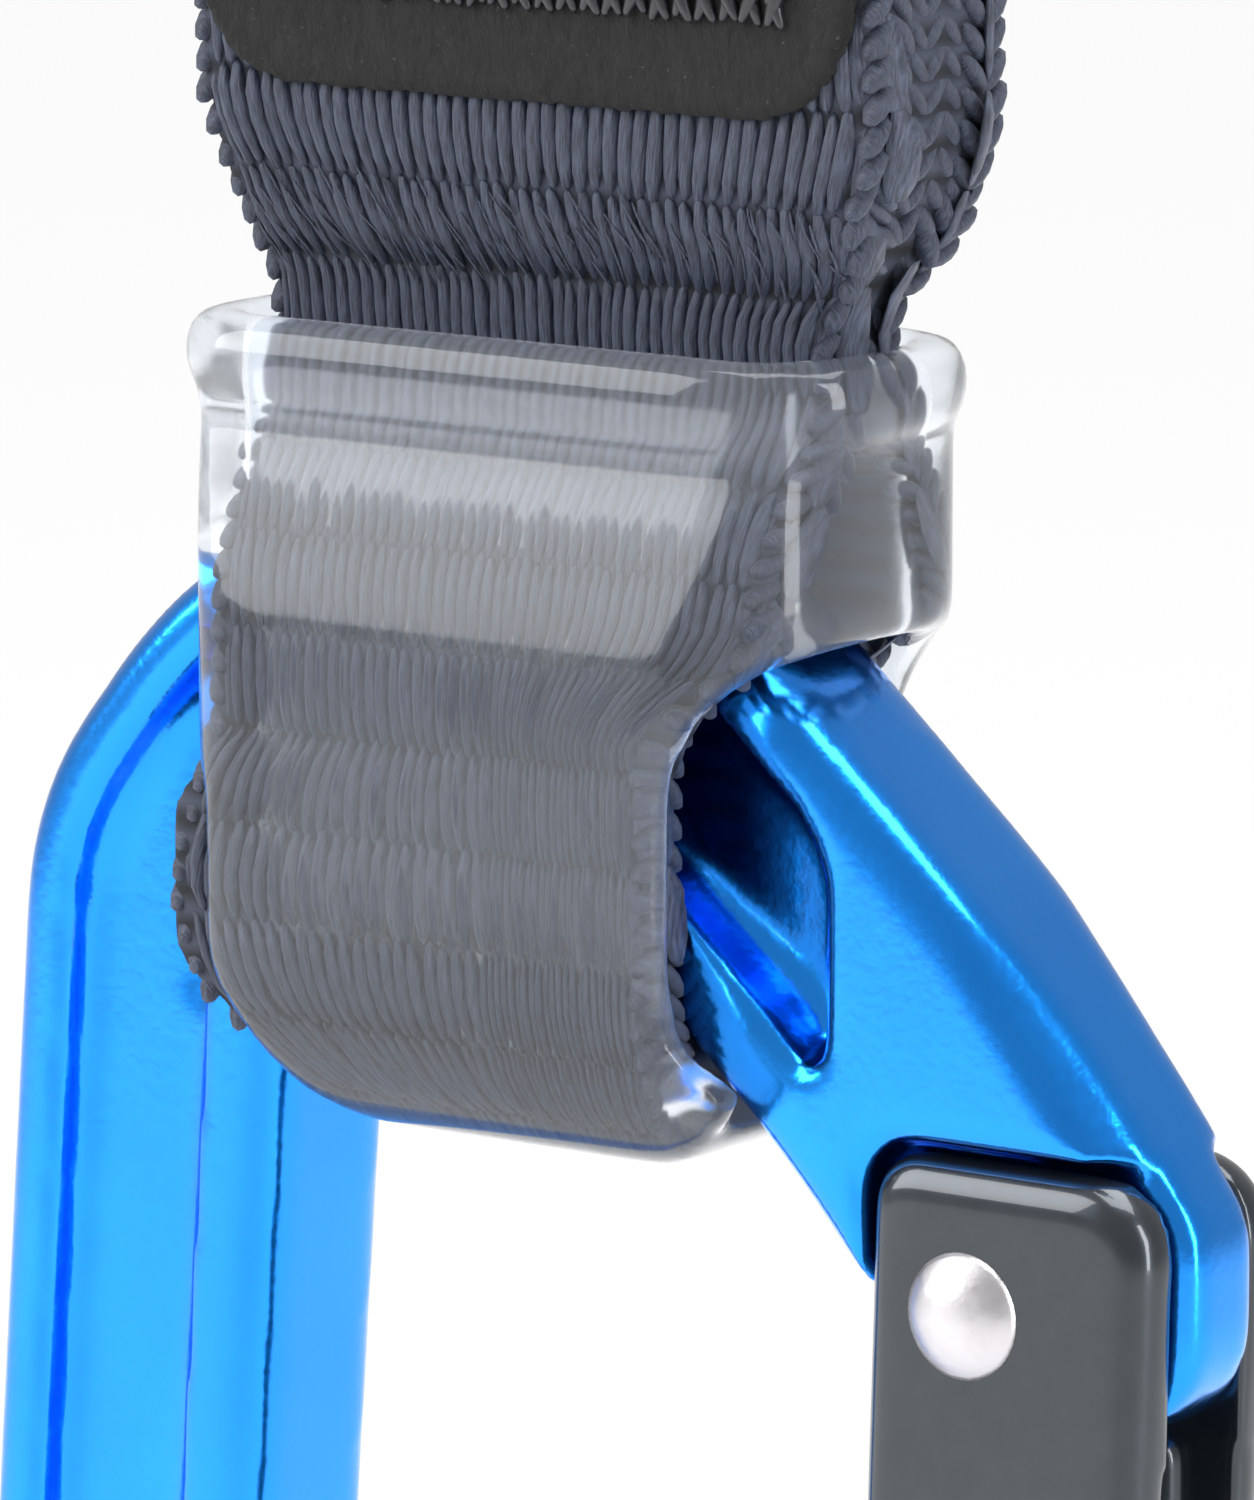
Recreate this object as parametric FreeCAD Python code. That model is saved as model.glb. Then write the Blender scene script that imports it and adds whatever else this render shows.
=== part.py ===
import FreeCAD
import Part
import math
import os

# A climbing quickdraw hanging straight down: bolt-end carabiner, sewn sling, rope-end
# carabiner held in a clear rubber keeper.  Millimetres.  X runs from spine to gate,
# Y is the thickness, Z is up.  The origin is the point of the bolt-end carabiner's
# basket that a bolt hanger bears on.

V = FreeCAD.Vector

# --- Carabiner body (both are the same forging; its own frame has the sling at Z = 0) ---
body_width = 10.6            # bar seen from the front
body_thick = 7.2             # bar along Y
body_edge = 1.3              # bevel of the long edges
peak = (-2.4, 19.3)          # corner where the two shoulder lines meet
peak_round = 19.0
shoulder = (25.3, -13.1)     # corner above the gate hinge
shoulder_round = 4.0
gate_foot = (29.8, -88.5)    # basket corner on the gate side
gate_foot_round = 20.0
spine_foot = (-28.3, -95.5)  # basket corner on the spine side
spine_foot_round = 21.0
spine_head = (-21.6, -4.0)   # corner of the spine and its shoulder
spine_head_round = 12.0

# Forged channel that makes the spine and the arch an I-beam
flange_out = 2.5             # rib left on the outside
flange_in = 3.2              # rib left on the inside
channel_deep = 1.6
arch_pocket_deep = 2.3       # the pocket on the arch goes deeper
channel_foot = 24.0          # from the lowest point of the spine corner up to the channel
channel_round = 1.9
pocket_reach = 11.8          # how far the arch pocket runs towards the gate
pocket_start = 16.0          # and towards the spine

# --- Gate, hinge and spring ---
hinge_in = 7.6               # rivet from the shoulder corner, towards the spine
hinge_down = 3.2             # and downwards
rivet_r = 1.5
rivet_head_r = 2.05
rivet_dome = 0.75
pin_gap = 0.05               # running clearance of the rivet in the tang
tang_thick = 4.0
tang_gap = 0.1               # each side of the tang, in the gate's slot
lobe_r = 3.75                # rounded outer lobe of the tang
lobe_x = 3.7                 # lobe centre from the rivet
heel_r = 2.3                 # heel that works the plunger
heel_down = 2.3
gate_thick = 8.2
gate_edge = 0.9              # bevel of the gate's long edges
gate_corner = 1.3            # its corner nearest the sling
gate_in = 3.1                # rivet to the gate's inner edge
gate_out = 7.3               # rivet to its outer edge
gate_top = 4.7               # rivet to its top
gate_gap = 0.5               # free space round the gate's top
gate_reach = 50.7            # rivet to the gate's end
end_gap = 0.35               # gate's end to the body
bend_in = 4.2                # how far the rope gate dips towards the spine
nose_thick = 3.4
nose_gap = 0.2               # round the nose, in the gate's notch
nose_head = 2.2              # the head's height, along the gate
nose_lip = 1.7               # the gate's lip under the head
nose_from = 4.4              # angles about the rivet, degrees from straight down
nose_neck = 6.8
nose_to = 11.0
bore_x = 2.2                 # plunger bore from the rivet
bore_r = 1.2
plunger_gap = 0.1
plunger_tip = 3.8            # rivet to the plunger's tip
plunger_long = 7.0
plunger_taper = 0.9
slot_floor = 4.9             # rivet to the floor of the gate's slot
slot_heel = 11.5             # the slot's outer part goes deeper
bore_foot = 23.0             # rivet to the bottom of the bore
spring_r = 0.8
spring_wire = 0.17
spring_turns = 4

# --- Sling ---
web_thick = 2.2              # one layer of webbing
frame_span = 101.0           # between the two carabiners' own frames
web_gap = 0.15               # webbing to the bar
lower_wide = 22.2            # webbing inside the keeper
handle_wide = 27.0
eye_wide = 20.0
core_thick = 2.4             # strip between the two layers of the handle
eye_open = 9.5               # half the free width of the top eye
eye_gap = 0.3                # bar to the eye's seat
patch_thick = 0.6
patch_foot = 22.0            # above the rope carabiner's frame
patch_long = 52.0
patch_side = 0.3             # webbing left bare beside a patch
patch_round = 3.5
stitch_high = 0.35
stitch_rows = 3
stitch_pitch = 2.8
stitch_zags = 14
stitch_side = 3.0            # bare margin of the patch
stitch_end = 2.8
thread = 0.9

# --- Keeper ---
keeper_wall = 1.25
keeper_floor = 1.6
keeper_top = 14.3
keeper_foot = -13.2
plan_round = 3.6             # corners of the keeper seen from above
keeper_ease = 0.2            # webbing to the keeper
rim_high = 2.8
rim_proud = 1.2
keeper_wide = 24.9
keeper_thick = 14.8          # at the bar
mouth_thick = 8.8            # under the rim
window_gap = 0.4             # round the bar, in the side windows
window_in = 7.6              # front edge of the gate-side window from the centre
window_head = 4.6


# --- 2D helpers: outlines are lists of (x, z, corner radius) ---
def lines_meet(p, d, q, e):
    k = ((q[0] - p[0]) * e[1] - (q[1] - p[1]) * e[0]) / (d[0] * e[1] - d[1] * e[0])
    return p[0] + d[0] * k, p[1] + d[1] * k


def inset(points, depth):
    """The same outline moved inwards, for points that run clockwise."""
    count = len(points)
    sides = []
    for i in range(count):
        a, b = points[i], points[(i + 1) % count]
        run = math.hypot(b[0] - a[0], b[1] - a[1])
        d = ((b[0] - a[0]) / run, (b[1] - a[1]) / run)
        sides.append(((a[0] + d[1] * depth, a[1] - d[0] * depth), d))
    moved = []
    for i in range(count):
        (p, d), (q, e) = sides[i - 1], sides[i]
        x, z = lines_meet(p, d, q, e)
        moved.append((x, z, max(points[i][2] - depth, 0.4)))
    return moved


def rounded(points, plane="xz", at=0.0):
    """A closed wire through the corners, each rounded by its own radius."""
    def spot(x, z):
        return V(x, at, z) if plane == "xz" else V(at, x, z)

    count = len(points)
    cuts = []
    for i in range(count):
        x, z, r = points[i]
        a, b = points[i - 1], points[(i + 1) % count]
        u = V(a[0] - x, a[1] - z, 0).normalize()
        w = V(b[0] - x, b[1] - z, 0).normalize()
        half = u.getAngle(w) / 2
        back = r / math.tan(half)
        mid = (u + w).normalize() * (r / math.sin(half) - r) if r > 0 else V()
        cuts.append((spot(x + u.x * back, z + u.y * back), spot(x + mid.x, z + mid.y),
                     spot(x + w.x * back, z + w.y * back), r))
    edges = []
    for i in range(count):
        start, mid, end, r = cuts[i]
        if r > 0:
            edges.append(Part.Arc(start, mid, end).toShape())
        following = cuts[(i + 1) % count][0]
        if end.distanceToPoint(following) > 1e-4:
            edges.append(Part.LineSegment(end, following).toShape())
    return Part.Wire(edges)


def slab(points, thick):
    """An outline seen from the front, given its thickness along Y."""
    face = Part.Face(rounded(points, "xz", -thick / 2))
    return face.extrude(V(0, thick, 0))


def bar(points, wide):
    """An outline seen from the side, given its width along X."""
    face = Part.Face(rounded(points, "yz", -wide / 2))
    return face.extrude(V(wide, 0, 0))


def both_sides(half):
    """Closes a half outline (y, z, radius), bottom to top, with its mirror image."""
    return half + [(-y, z, r) for y, z, r in reversed(half)]


def long_edges(shape, level):
    """The edges that lie on one of the two faces at Y = level and Y = -level."""
    found = []
    for edge in shape.Edges:
        box = edge.BoundBox
        if box.YLength < 1e-4 and abs(abs(box.YMin) - level) < 1e-4:
            found.append(edge)
    return found


def ring_part(r1, r2, a1, a2, thick):
    """A piece of a ring about the rivet; angles from straight down towards +X."""
    def spot(r, a):
        return V(rivet[0] + r * math.sin(math.radians(a)), -thick / 2,
                 rivet[1] - r * math.cos(math.radians(a)))

    mid = (a1 + a2) / 2
    wire = Part.Wire([
        Part.Arc(spot(r1, a1), spot(r1, mid), spot(r1, a2)).toShape(),
        Part.LineSegment(spot(r1, a2), spot(r2, a2)).toShape(),
        Part.Arc(spot(r2, a2), spot(r2, mid), spot(r2, a1)).toShape(),
        Part.LineSegment(spot(r2, a1), spot(r1, a1)).toShape()])
    return Part.Face(wire).extrude(V(0, thick, 0))


def disc(r, x, z, thick):
    return Part.makeCylinder(r, thick, V(rivet[0] + x, -thick / 2, rivet[1] + z), V(0, 1, 0))


# --- Carabiner ---
rivet = (shoulder[0] - hinge_in, shoulder[1] - hinge_down)
outline = [peak + (peak_round,), shoulder + (shoulder_round,), gate_foot + (gate_foot_round,),
           spine_foot + (spine_foot_round,), spine_head + (spine_head_round,)]
far = 60.0                   # beyond the body on every side


def channel(depth, limit, ends):
    """The band between the two ribs, cut to a limit, with its free corners rounded."""
    band = slab(inset(outline, flange_out), body_thick)
    band = band.cut(slab(inset(outline, body_width - flange_in), body_thick))
    piece = band.common(slab(limit, body_thick))
    corners = []
    for edge in piece.Edges:
        box = edge.BoundBox
        if box.YLength > body_thick - 0.01 and box.XLength < 0.01 and ends(box.XMin, box.ZMin):
            corners.append(edge)
    piece = piece.makeFillet(channel_round, corners)
    floor = body_thick / 2 - depth
    front = piece.common(Part.makeBox(2 * far, depth, 3 * far, V(-far, -body_thick / 2, -2 * far)))
    rear = piece.common(Part.makeBox(2 * far, depth, 3 * far, V(-far, floor, -2 * far)))
    return front.fuse(rear)


def make_frame():
    body = slab(outline, body_thick).cut(slab(inset(outline, body_width), body_thick))
    body = body.makeChamfer(body_edge, long_edges(body, body_thick / 2))
    foot = spine_foot[1] + channel_foot
    below = shoulder[1] - 1.0
    spine_limit = [(-far, far, 0), (pocket_reach, far, 0), (pocket_reach, below, 0),
                   (-body_width, below, 0), (-body_width, foot, 0), (-far, foot, 0)]
    body = body.cut(channel(channel_deep, spine_limit,
                            lambda x, z: x > pocket_reach - 0.1 or z < foot + 0.1))
    arch_limit = [(-pocket_start, far, 0), (pocket_reach, far, 0), (pocket_reach, below, 0),
                  (-pocket_start, below, 0)]
    body = body.cut(channel(arch_pocket_deep, arch_limit, lambda x, z: x > pocket_reach - 0.1))
    # the gate's place is cut out, down to an arc that the gate's end sweeps
    left = rivet[0] - gate_in - gate_gap
    roof = rivet[1] + gate_top + gate_gap
    room = slab([(left, roof, gate_corner + gate_gap), (far, roof, 0), (far, -far * 2, 0),
                 (0, -far * 2, 0), (0, rivet[1], 0), (left, rivet[1], 0)], body_thick + 1)
    body = body.cut(room.common(disc(gate_reach + end_gap, 0, 0, body_thick + 1)))
    # the tang that the gate straddles, with an outer lobe and a heel
    tang = slab([(left - 3, roof + 4, 0), (rivet[0] + 1, roof + 4, 0), shoulder + (shoulder_round,),
                 (shoulder[0] + 0.05, rivet[1], 0), (rivet[0] + lobe_x, rivet[1] - 3.2, 0),
                 (rivet[0] - gate_in + 0.9, rivet[1] - 3.2, 1.4), (rivet[0] - gate_in, rivet[1], 1.0),
                 (left - 0.1, rivet[1] + 0.6, 0)], tang_thick)
    tang = tang.common(slab(outline, tang_thick))
    tang = tang.fuse(disc(lobe_r, lobe_x, 0, tang_thick).common(slab(outline, tang_thick)))
    tang = tang.fuse(disc(heel_r, -0.2, -heel_down, tang_thick))
    body = body.fuse(tang)
    # the nose: a neck and a hooked head
    head_top = gate_reach - nose_lip - nose_gap - nose_head
    head = ring_part(head_top, head_top + nose_head, nose_from, nose_to, nose_thick)
    neck = ring_part(head_top + nose_head / 2, gate_reach + 2.5, nose_neck, nose_to, nose_thick)
    body = body.fuse(head).fuse(neck)
    body = body.cut(disc(rivet_r + pin_gap, 0, 0, body_thick))
    return body.removeSplitter()


def make_gate(bend):
    x, z = rivet
    end = gate_reach + 3
    outer_foot = gate_foot[0] - shoulder[0]
    spread = outer_foot / (shoulder[1] - gate_foot[1])
    tip = end * spread
    half = 0.52
    points = [(x - gate_in, z + gate_top, gate_corner), (x + gate_out, z + gate_top, 2.4),
              (x + gate_out + 0.3 - bend * 0.2, z - end * 0.16, 12 if bend else 0.0),
              (x + gate_out + tip * half - bend - 0.2, z - end * half, 24 if bend else 0.0),
              (x + gate_out + tip - 0.3, z - end, 0),
              (x - gate_in + tip + 1.9, z - end, 0),
              (x - gate_in + tip * half - bend + 1.2, z - end * half, 24 if bend else 0.0),
              (x - gate_in + 0.4 - bend * 0.2, z - end * 0.16, 12 if bend else 0.0)]
    gate = slab(points, gate_thick)
    gate = gate.makeChamfer(gate_edge, long_edges(gate, gate_thick / 2))
    gate = gate.common(disc(gate_reach, 0, 0, gate_thick))
    slot = tang_thick + 2 * tang_gap
    deep = bore_x + bore_r + 0.9
    gate = gate.cut(slab([(x - far, z + far, 0), (x + far, z + far, 0), (x + far, z - slot_heel, 0),
                          (x + deep, z - slot_heel, 0), (x + deep, z - slot_floor, 0),
                          (x - far, z - slot_floor, 0)], slot))
    gate = gate.cut(Part.makeCylinder(bore_r, bore_foot - slot_floor + 1,
                                      V(x + bore_x, 0, z - bore_foot), V(0, 0, 1)))
    notch = nose_thick + 2 * nose_gap
    play = math.degrees(nose_gap / gate_reach)
    head_top = gate_reach - nose_lip - nose_gap - nose_head
    wide = ring_part(head_top - nose_gap, head_top + nose_head + nose_gap,
                     nose_from - play, nose_to + 20, notch)
    thin = ring_part(head_top, gate_reach + 5, nose_neck - play, nose_to + 20, notch)
    gate = gate.cut(wide).cut(thin)
    return gate.cut(disc(rivet_r, 0, 0, gate_thick)).removeSplitter()


def make_rivet():
    y = gate_thick / 2
    rim = Part.makeCylinder(rivet_head_r, rivet_dome * 0.3, V(rivet[0], y, rivet[1]), V(0, 1, 0))
    crown = Part.makeCone(rivet_head_r, rivet_head_r * 0.5, rivet_dome * 0.7,
                          V(rivet[0], y + rivet_dome * 0.3, rivet[1]), V(0, 1, 0))
    head = rim.fuse(crown)
    return disc(rivet_r, 0, 0, gate_thick).fuse([head, head.mirror(V(0, 0, 0), V(0, 1, 0))])


def make_plunger():
    r = bore_r - plunger_gap
    x = rivet[0] + bore_x
    top = rivet[1] - plunger_tip - plunger_taper
    foot = rivet[1] - plunger_tip - plunger_long
    pin = Part.makeCylinder(r, top - foot, V(x, 0, foot), V(0, 0, 1))
    return pin.fuse(Part.makeCone(r, r * 0.45, plunger_taper, V(x, 0, top), V(0, 0, 1)))


def make_spring():
    top = rivet[1] - plunger_tip - plunger_long - spring_wire - 0.02
    foot = rivet[1] - bore_foot + spring_wire + 0.02
    pitch = (top - foot) / spring_turns
    helix = Part.makeHelix(pitch, top - foot, spring_r)
    w = spring_wire
    ring = [V(spring_r - w, 0, 0), V(spring_r, 0, w), V(spring_r + w, 0, 0), V(spring_r, 0, -w)]
    section = Part.Wire([Part.LineSegment(ring[i], ring[(i + 1) % 4]).toShape() for i in range(4)])
    coil = Part.Wire(helix.Edges).makePipeShell([section], True, True)
    coil.translate(V(rivet[0] + bore_x, 0, foot))
    return coil


# --- Sling, in the rope carabiner's own frame ---
waist = web_thick + 0.05                      # half thickness where the layers are sewn
grip = web_thick + core_thick / 2             # half thickness of the handle
bar_half = body_thick / 2 + web_gap
wrap = bar_half + web_thick                   # half thickness round the rope bar
patch_top = patch_foot + patch_long
fold = 12.5                                   # where the two layers come together
loop_foot = keeper_foot + keeper_wall + 0.6   # lowest point of the loop in the keeper


def seat_height():
    """Where an eye of the given width lands on the sloping sides of the arch."""
    under = Part.Face(rounded(inset(outline, body_width)))
    line = Part.makeLine(V(eye_wide / 2, 0, shoulder[1] * 2), V(eye_wide / 2, 0, peak[1]))
    return under.common(line).BoundBox.ZMax


def make_webbing():
    seat = frame_span - seat_height() + eye_gap
    top = seat + web_thick
    eye_out = eye_open + web_thick
    outer = bar(both_sides([
        (wrap, keeper_foot - 2, 5.0), (wrap, 6.5, 5.0), (waist, fold, 4.0), (waist, fold + 3, 5.0),
        (grip, 20.5, 6.0), (grip, patch_top + 2, 6.0), (waist, patch_top + 7, 5.0),
        (waist, patch_top + 10, 4.0), (eye_out, patch_top + 17, 8.0), (eye_out, top, eye_out - 0.3)]),
        handle_wide + 4)
    wide, low, eye = handle_wide / 2, lower_wide / 2, eye_wide / 2
    front = slab([(-low, loop_foot, 5.0), (-low, keeper_top + 1.2, 6.0), (-wide, 23.0, 8.0),
                  (-wide, patch_top, 10.0), (-eye, patch_top + 12, 10.0), (-eye, top + 2, 0),
                  (eye, top + 2, 0), (eye, patch_top + 12, 10.0), (wide, patch_top, 10.0),
                  (wide, 23.0, 8.0), (low, keeper_top + 1.2, 6.0), (low, loop_foot, 5.0)], 4 * eye_out)
    web = outer.common(front)
    ease = keeper_wall + keeper_ease
    low_part = web.common(keeper_form(ease, keeper_foot + keeper_floor + keeper_ease, fold))
    web = low_part.fuse(web.common(oblong(far, far, 0, fold, 4 * far))).removeSplitter()
    web = web.cut(slab(inset(outline, body_width + web_gap + web_thick), 4 * wrap))
    room = bar(both_sides([(bar_half, -far, 0), (bar_half, 8.0, 1.5), (0.05, fold - 0.5, 0)]), far)
    web = web.cut(room.cut(slab(inset(outline, body_width + web_gap), 4 * wrap)))
    eye_room = bar(both_sides([(0.05, patch_top + 13, 0), (eye_open, patch_top + 20, 7.0),
                               (eye_open, seat, eye_open - 2.0)]), far)
    web = web.cut(eye_room)
    return web.cut(core_strip())


def core_strip():
    foot, top = patch_foot - 0.5, patch_top + 0.5
    strip = Part.makeBox(handle_wide * 2, core_thick, top - foot)
    strip.translate(V(-handle_wide, -core_thick / 2, foot))
    return strip


def make_core():
    wide = handle_wide / 2 - 0.4
    limit = slab([(-wide + 1.5, patch_foot - 2, 0), (-wide + 1.5, patch_foot, 0),
                  (-wide, patch_foot + 4, 0), (-wide, patch_top - 4, 0),
                  (-wide + 1.5, patch_top, 0), (-wide + 1.5, patch_top + 2, 0),
                  (wide - 1.5, patch_top + 2, 0), (wide - 1.5, patch_top, 0),
                  (wide, patch_top - 4, 0), (wide, patch_foot + 4, 0),
                  (wide - 1.5, patch_foot, 0), (wide - 1.5, patch_foot - 2, 0)], core_thick)
    return core_strip().common(limit)


def make_patch(side):
    wide = handle_wide / 2 - patch_side
    patch = slab([(-wide, patch_foot, patch_round), (-wide, patch_top, patch_round),
                  (wide, patch_top, patch_round), (wide, patch_foot, patch_round)], patch_thick)
    patch.translate(V(0, side * (grip + patch_thick / 2), 0))
    return patch


def zigzag(level):
    """One row of dense zigzag thread across the patch."""
    half = handle_wide / 2 - stitch_side
    step = 2 * half / stitch_zags
    swing = stitch_pitch / 2 - thread / 2
    line = [(-half + i * step, level + (swing if i % 2 else -swing)) for i in range(stitch_zags + 1)]
    return [(x, z + thread / 2, 0) for x, z in line] + [(x, z - thread / 2, 0) for x, z in line[::-1]]


def make_stitching(first):
    rows = []
    for row in range(stitch_rows):
        strip = slab(zigzag(first + row * stitch_pitch), stitch_high)
        for side in (-1, 1):
            copy = strip.copy()
            copy.translate(V(0, side * (grip + patch_thick + stitch_high / 2), 0))
            rows.append(copy)
    return Part.makeCompound(rows)


# --- Keeper ---
def oblong(half_x, half_y, r, foot, top):
    """An upright block with a rounded rectangle for its plan."""
    block = slab([(-half_x, -half_y, r), (-half_x, half_y, r), (half_x, half_y, r),
                  (half_x, -half_y, r)], top - foot)
    block.rotate(V(0, 0, 0), V(1, 0, 0), 90)
    block.translate(V(0, 0, (foot + top) / 2))
    return block


def keeper_form(skin, foot, top):
    """The pocket's outer form, or with a skin taken off its inner one."""
    x, y, mouth = keeper_wide / 2 - skin, keeper_thick / 2 - skin, mouth_thick / 2 - skin
    front = slab([(-x, top, 0), (x, top, 0), (x, 2.0, 14.0), (x - 0.6, -5.5, 8.0),
                  (x * 0.68, foot, 6.0), (-x * 0.68, foot, 6.0), (-x + 0.6, -5.5, 8.0),
                  (-x, 2.0, 14.0)], 2 * keeper_thick)
    side = bar(both_sides([(y * 0.62, foot, 3.5), (y, foot + 5.5, 5.0), (y, 6.5, 5.0),
                           (mouth, 11.5, 3.0), (mouth, top, 0)]), 2 * keeper_wide)
    plan = oblong(x, y, plan_round - skin, foot, top)
    return front.common(side).common(plan)


def make_keeper():
    shell = keeper_form(0, keeper_foot, keeper_top)
    rim = oblong(keeper_wide / 2 + rim_proud, mouth_thick / 2 + rim_proud, plan_round,
                 keeper_top - rim_high, keeper_top)
    rim = rim.makeChamfer(rim_proud * 0.6, [e for e in rim.Edges if e.BoundBox.ZLength < 1e-4])
    shell = shell.fuse(rim)
    shell = shell.cut(keeper_form(keeper_wall, keeper_foot + keeper_floor, keeper_top + 1))
    room = slab(inset(outline, -window_gap), body_thick + 2 * window_gap)
    room = room.cut(slab(inset(outline, body_width + window_gap), body_thick * 2))
    shell = shell.cut(room)
    window = slab([(window_in, window_head, 4.0), (far, window_head + 5, 0), (far, -far, 0),
                   (window_in, -far, 0)], 2 * keeper_thick)
    shell = shell.cut(window.cut(slab(inset(outline, body_width + window_gap), 3 * keeper_thick)))
    return max(shell.Solids, key=lambda s: s.Volume).removeSplitter()


# --- Places in the assembly ---
basket = min((e for e in rounded(inset(outline, body_width)).Edges if e.BoundBox.XLength > 1),
             key=lambda e: e.BoundBox.ZMin)
basket_x = basket.Curve.Center.x
basket_z = basket.BoundBox.ZMin


def at_rope(shape):
    copy = shape.copy()
    copy.translate(V(-basket_x, 0, basket_z - frame_span))
    return copy


def at_bolt(shape):
    copy = shape.mirror(V(0, 0, 0), V(0, 0, 1))
    copy.translate(V(-basket_x, 0, basket_z))
    return copy


def save(name, shape):
    shape.exportStep(os.path.join("parts", name + ".step"))


os.makedirs("parts", exist_ok=True)
frame = make_frame()
plunger = make_plunger()
spring = make_spring()
pin = make_rivet()
for end, place, bend in (("rope", at_rope, bend_in), ("bolt", at_bolt, 0.0)):
    save(end + "_carabiner_body", place(frame))
    save(end + "_gate", place(make_gate(bend)))
    save(end + "_gate_rivet", place(pin))
    save(end + "_gate_plunger", place(plunger))
    save(end + "_gate_spring", place(spring))
save("sling_webbing", at_rope(make_webbing()))
save("handle_core", at_rope(make_core()))
save("front_wear_patch", at_rope(make_patch(-1)))
save("rear_wear_patch", at_rope(make_patch(1)))
save("lower_stitching", at_rope(make_stitching(patch_foot + stitch_end)))
save("upper_stitching", at_rope(make_stitching(patch_top - stitch_end - stitch_pitch * (stitch_rows - 1))))
save("keeper", at_rope(make_keeper()))
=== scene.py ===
import math
import random

import bmesh
import bpy
from mathutils import Matrix, Vector


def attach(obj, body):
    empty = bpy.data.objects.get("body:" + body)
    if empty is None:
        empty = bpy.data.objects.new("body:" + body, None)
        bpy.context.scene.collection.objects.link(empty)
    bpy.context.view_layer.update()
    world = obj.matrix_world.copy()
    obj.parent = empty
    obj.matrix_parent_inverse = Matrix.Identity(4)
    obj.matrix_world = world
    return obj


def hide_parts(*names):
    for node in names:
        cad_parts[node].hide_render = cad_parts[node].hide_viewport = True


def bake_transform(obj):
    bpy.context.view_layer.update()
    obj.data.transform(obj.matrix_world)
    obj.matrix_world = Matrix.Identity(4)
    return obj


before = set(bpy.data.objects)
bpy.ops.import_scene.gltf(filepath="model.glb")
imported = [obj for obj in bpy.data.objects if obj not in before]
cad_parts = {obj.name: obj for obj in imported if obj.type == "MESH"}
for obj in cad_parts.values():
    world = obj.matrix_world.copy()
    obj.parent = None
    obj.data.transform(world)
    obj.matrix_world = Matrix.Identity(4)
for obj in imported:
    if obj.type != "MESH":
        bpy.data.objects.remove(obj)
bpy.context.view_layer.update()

# Shapes are worked in millimetres in the rope carabiner's own frame, sling side up,
# and placed at the rope end, or mirrored and placed at the bolt end.
ropePlace = Matrix.Translation((0.005494, 0, -0.1830004)) @ Matrix.Scale(0.001, 4)
boltPlace = Matrix.Translation((0.005494, 0, -0.0820004)) @ Matrix.Diagonal((0.001, 0.001, -0.001, 1))
rng = random.Random(7)


# --- Shader maths ---
class Flow:
    def __init__(self, tree, out=None):
        self.tree, self.out = tree, out

    def make(self, kind, settings=None, inputs=None, output=0):
        node = self.tree.nodes.new("ShaderNode" + kind)
        for key, value in (settings or {}).items():
            if key == "stops":  # colour ramp: (place, colour) pairs
                while len(node.color_ramp.elements) < len(value):
                    node.color_ramp.elements.new(0.5)
                for element, (place, colour) in zip(node.color_ramp.elements, value):
                    element.position, element.color = place, colour
            else:
                setattr(node, key, value)
        for key, value in (inputs or {}).items():
            self.plug(node.inputs[key], value)
        return Flow(self.tree, node.outputs[output])

    def plug(self, socket, value):
        if isinstance(value, Flow):
            self.tree.links.new(value.out, socket)
        else:
            socket.default_value = value

    def calc(self, operation, *values):
        return self.make("Math", {"operation": operation}, dict(enumerate(values)))

    def __add__(self, other): return self.calc("ADD", self, other)
    def __radd__(self, other): return self.calc("ADD", other, self)
    def __sub__(self, other): return self.calc("SUBTRACT", self, other)
    def __rsub__(self, other): return self.calc("SUBTRACT", other, self)
    def __mul__(self, other): return self.calc("MULTIPLY", self, other)
    def __rmul__(self, other): return self.calc("MULTIPLY", other, self)
    def __truediv__(self, other): return self.calc("DIVIDE", self, other)

    def blend(self, low, high):  # colour between two colours, by this factor
        return self.make("Mix", {"data_type": "RGBA"}, {0: self, 6: low, 7: high}, 2)

    def band(self, low, high):  # 0 below low, 1 above high
        return self.make("MapRange", {"interpolation_type": "SMOOTHSTEP"}, {0: self, 1: low, 2: high})


def newMaterial(name, constants):
    material = bpy.data.materials.new(name)
    material.use_nodes = True
    shader = material.node_tree.nodes["Principled BSDF"]
    for key, value in constants.items():
        shader.inputs[key].default_value = value
    flow = Flow(material.node_tree)
    return material, shader, flow


def places(flow, scale, stretch=(1, 1, 1)):  # object coordinates, stretched
    spot = flow.make("TexCoord", output=3)
    return flow.make("Mapping", None, {0: spot, 3: [scale * s for s in stretch]})


def noise(flow, scale, stretch=(1, 1, 1), detail=3.0, rough=0.55):
    return flow.make("TexNoise", None, {"Vector": places(flow, 1, stretch), "Scale": scale,
                                        "Detail": detail, "Roughness": rough})


def bump(flow, height, strength, distance):
    return flow.make("Bump", None, {"Strength": strength, "Distance": distance, "Height": height})


anodised = {"deep": (0.004, 0.2, 0.82, 1), "light": (0.012, 0.34, 1.0, 1), "roughness": 0.2}


def makeAnodised():
    material, shader, flow = newMaterial("blueAnodised", {"Metallic": 1.0, "Coat Weight": 0.35,
                                                          "Coat Roughness": 0.06})
    cloud = noise(flow, 60)
    grain = noise(flow, 2600, detail=2)
    flow.plug(shader.inputs["Base Color"], cloud.blend(anodised["deep"], anodised["light"]))
    flow.plug(shader.inputs["Roughness"], grain * 0.12 + (anodised["roughness"] - 0.06))
    flow.plug(shader.inputs["Normal"], bump(flow, grain, 0.12, 0.0001))
    return material


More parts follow.
